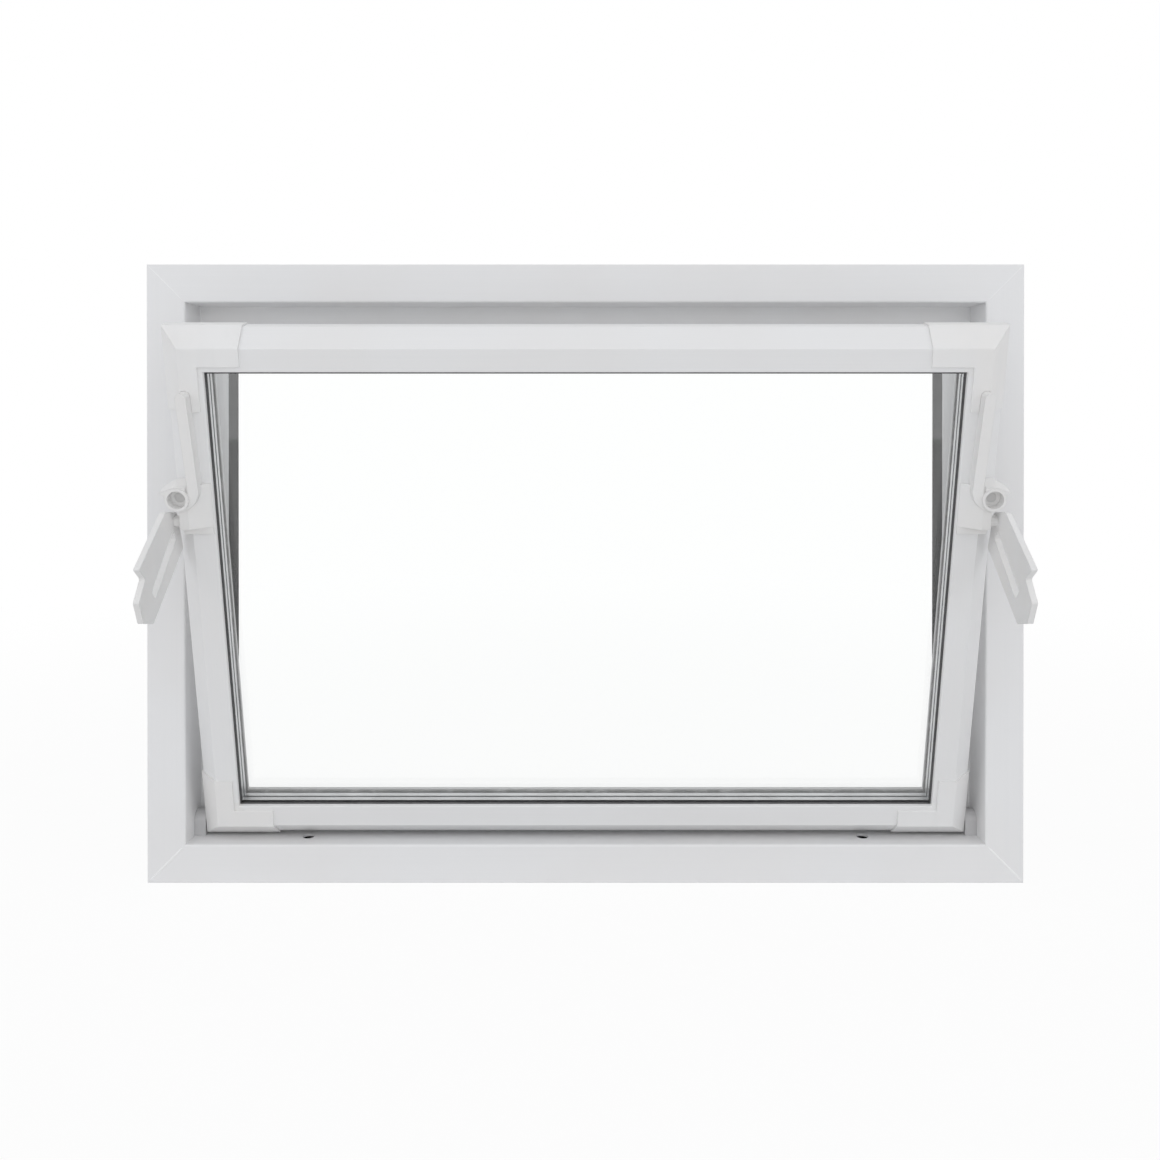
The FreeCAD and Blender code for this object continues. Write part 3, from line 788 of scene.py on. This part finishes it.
def seen_directly(graph, paths):
    """1 for rays of the camera, of mirrors and of glass, and 0 for the rest."""
    camera, glossy, clear = [Number(graph, paths.outputs[name]) for name in (
        "Is Camera Ray", "Is Glossy Ray", "Is Transmission Ray")]
    return camera.larger(glossy).larger(clear)


def light_room(world, room, rear):
    """White where it is seen, brighter towards the camera's side where it lights."""
    graph = Graph(world)
    direction = graph.add("ShaderNodeTexCoord").outputs["Generated"]
    x, y, z = graph.parts(direction)
    front = graph.ranged(y, -0.5, 0.3, room, rear)
    light = front + graph.ranged(z, 0.2, 1.0, 0.0, room * 0.15)
    paths = graph.add("ShaderNodeLightPath")
    seen = seen_directly(graph, paths)
    glow = graph.add("ShaderNodeBackground", None, {
        "Color": (0.97, 0.98, 1.0, 1.0), "Strength": light})
    plain = graph.add("ShaderNodeBackground", None, {
        "Color": (1.0, 1.0, 1.0, 1.0), "Strength": 1.0})
    mixed = graph.add("ShaderNodeMixShader", None, {
        0: seen, 1: glow.outputs[0], 2: plain.outputs[0]})
    graph.add("ShaderNodeOutputWorld", None, {"Surface": mixed.outputs[0]})


def hung_lamp(name, place, aim, size, power, colour):
    """A square soft lamp that points at the aim."""
    lamp = bpy.data.lights.new(name, "AREA")
    lamp.shape = "SQUARE"
    lamp.size = size
    lamp.energy = power
    lamp.color = colour
    holder = bpy.data.objects.new(name, lamp)
    holder.location = place
    holder.rotation_euler = (Vector(aim) - Vector(place)).to_track_quat("-Z", "Y").to_euler()
    bpy.context.collection.objects.link(holder)
    return holder


class HOPPER_OT_stage(bpy.types.Operator):
    """Lay the floor, hang the lamps, light the room and set the camera."""
    bl_idname = "hopper.stage"
    bl_label = "Set the Stage"

    def execute(self, context):
        stage = context.scene.hopper_stage
        half = stage.floor_width / 2
        mesh = bpy.data.meshes.new("floor")
        shape = bmesh.new()
        corners = [shape.verts.new((x, y, -0.0002)) for x, y in (
            (-half, -half), (half, -half), (half, half), (-half, half))]
        shape.faces.new(corners)
        shape.to_mesh(mesh)
        shape.free()
        floor = bpy.data.objects.new("floor", mesh)
        floor.data.materials.append(ground_material(stage.floor_width, stage.floor_shade))
        context.collection.objects.link(floor)
        world = bpy.data.worlds.new("room")
        context.scene.world = world
        light_room(world, stage.room_light, stage.rear_light)
        middle = (cad_low + cad_high) / 2
        warm_white = (1.0, 0.99, 0.97)
        cool_white = (0.99, 0.99, 1.0)
        plain_white = (1.0, 1.0, 1.0)
        for name, place, size, power, colour in (
                ("key_lamp", (0.0, -2.2, 0.3), 1.6, stage.key_power, warm_white),
                ("left_lamp", (-2.0, -1.2, 1.4), 1.4, stage.side_power, cool_white),
                ("right_lamp", (2.0, -1.2, 1.4), 1.4, stage.side_power, cool_white),
                ("top_lamp", (0.0, -0.5, 2.1), 1.8, stage.top_power, plain_white)):
            hung_lamp(name, place, middle, size, power, colour)
        self.set_camera(context, stage)
        context.scene.view_settings.view_transform = "Standard"
        return {"FINISHED"}

    def set_camera(self, context, stage):
        camera = bpy.data.objects.new("camera", bpy.data.cameras.new("camera"))
        camera.data.lens = stage.focal_length
        camera.data.sensor_width = 36.0
        camera.data.shift_x = stage.shift_x
        camera.data.shift_y = stage.shift_y
        camera.data.clip_start = 0.05
        camera.location = (0.0, -stage.camera_distance, stage.camera_height)
        camera.rotation_euler = (math.pi / 2 - stage.camera_pitch, 0.0, 0.0)
        context.collection.objects.link(camera)
        context.scene.camera = camera


operators = (
    HOPPER_OT_frame_profiles,
    HOPPER_OT_weld_seams,
    HOPPER_OT_sash_profiles,
    HOPPER_OT_connectors,
    HOPPER_OT_levers,
    HOPPER_OT_glazing,
    HOPPER_OT_hardware,
    HOPPER_OT_stage,
)


class HOPPER_PT_panel(bpy.types.Panel):
    """Steps that finish the window, in order."""
    bl_idname = "HOPPER_PT_panel"
    bl_label = "Hopper Window"
    bl_space_type = "VIEW_3D"
    bl_region_type = "UI"
    bl_category = "Hopper Window"

    def draw(self, context):
        layout = self.layout
        for settings in (context.scene.hopper_finish, context.scene.hopper_stage):
            column = layout.column()
            for name in settings.__annotations__:
                column.prop(settings, name)
        for operator in operators:
            layout.operator(operator.bl_idname)


classes = (HopperFinish, HopperStage, *operators, HOPPER_PT_panel)


def register():
    for item in classes:
        bpy.utils.register_class(item)
    bpy.types.Scene.hopper_finish = PointerProperty(type=HopperFinish)
    bpy.types.Scene.hopper_stage = PointerProperty(type=HopperStage)


def unregister():
    del bpy.types.Scene.hopper_stage
    del bpy.types.Scene.hopper_finish
    for item in reversed(classes):
        bpy.utils.unregister_class(item)


def main():
    register()
    bpy.ops.hopper.frame_profiles()
    bpy.ops.hopper.weld_seams()
    bpy.ops.hopper.sash_profiles()
    bpy.ops.hopper.connectors()
    bpy.ops.hopper.levers()
    bpy.ops.hopper.glazing()
    bpy.ops.hopper.hardware()
    bpy.ops.hopper.stage()
    bpy.context.view_layer.update()


if __name__ == "__main__":
    main()
